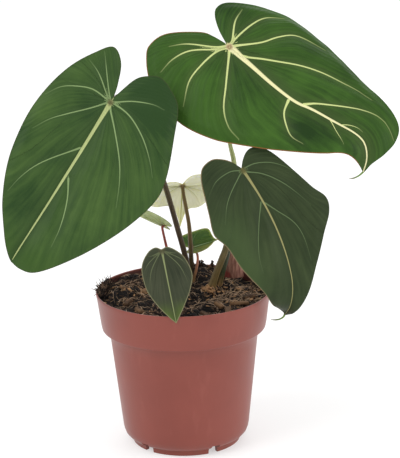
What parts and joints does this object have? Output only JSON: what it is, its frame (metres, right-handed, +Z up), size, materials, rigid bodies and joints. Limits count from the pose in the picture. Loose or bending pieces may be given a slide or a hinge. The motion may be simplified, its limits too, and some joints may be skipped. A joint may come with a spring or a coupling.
{
  "type": "potted philodendron",
  "caption": "Potted philodendron: heart-shaped, pale-veined leaves on tall bare stalks, growing out of coir soil in a round plastic nursery pot with a deep collar.",
  "frame": {"origin": "centre of the pot's underside, on the flat centre pad that stands on the surface", "axes": "+Z up along the pot's axis; -Y towards the front, where the small front leaf hangs over the rim; +X towards the side that the top and right leaves lean to"},
  "size_m": [0.2642, 0.1216, 0.2987],
  "materials": {
    "pot": "smooth terracotta-red plastic with a soft sheen",
    "soil": "dark, crumbly, fibrous",
    "bark": "rough, dry, tan to orange-brown",
    "leaf": "velvety to satin green with pale veins",
    "stalk": "satin, olive to dark brown",
    "sheath": "dry, papery, pink-brown"
  },
  "bodies": {
    "root": {"pot": "pot", "soil": "soil", "stalk_left": "stalk", "stalk_top": "stalk", "stalk_right": "stalk", "stalk_front": "stalk", "stalk_back": "stalk", "stalk_side": "stalk", "stalk_young": "stalk", "blade_left": "leaf", "blade_top": "leaf", "blade_right": "leaf", "blade_front": "leaf", "blade_back": "leaf", "blade_side": "leaf", "blade_young": "leaf", "sheath": "sheath", "bark_chip_01": "bark", "bark_chip_02": "bark", "bark_chip_03": "bark", "bark_chip_04": "bark", "bark_chip_05": "bark", "bark_chip_06": "bark", "bark_chip_07": "bark", "bark_chip_08": "bark", "bark_chip_09": "bark", "bark_chip_10": "bark"}
  },
  "joints": []
}
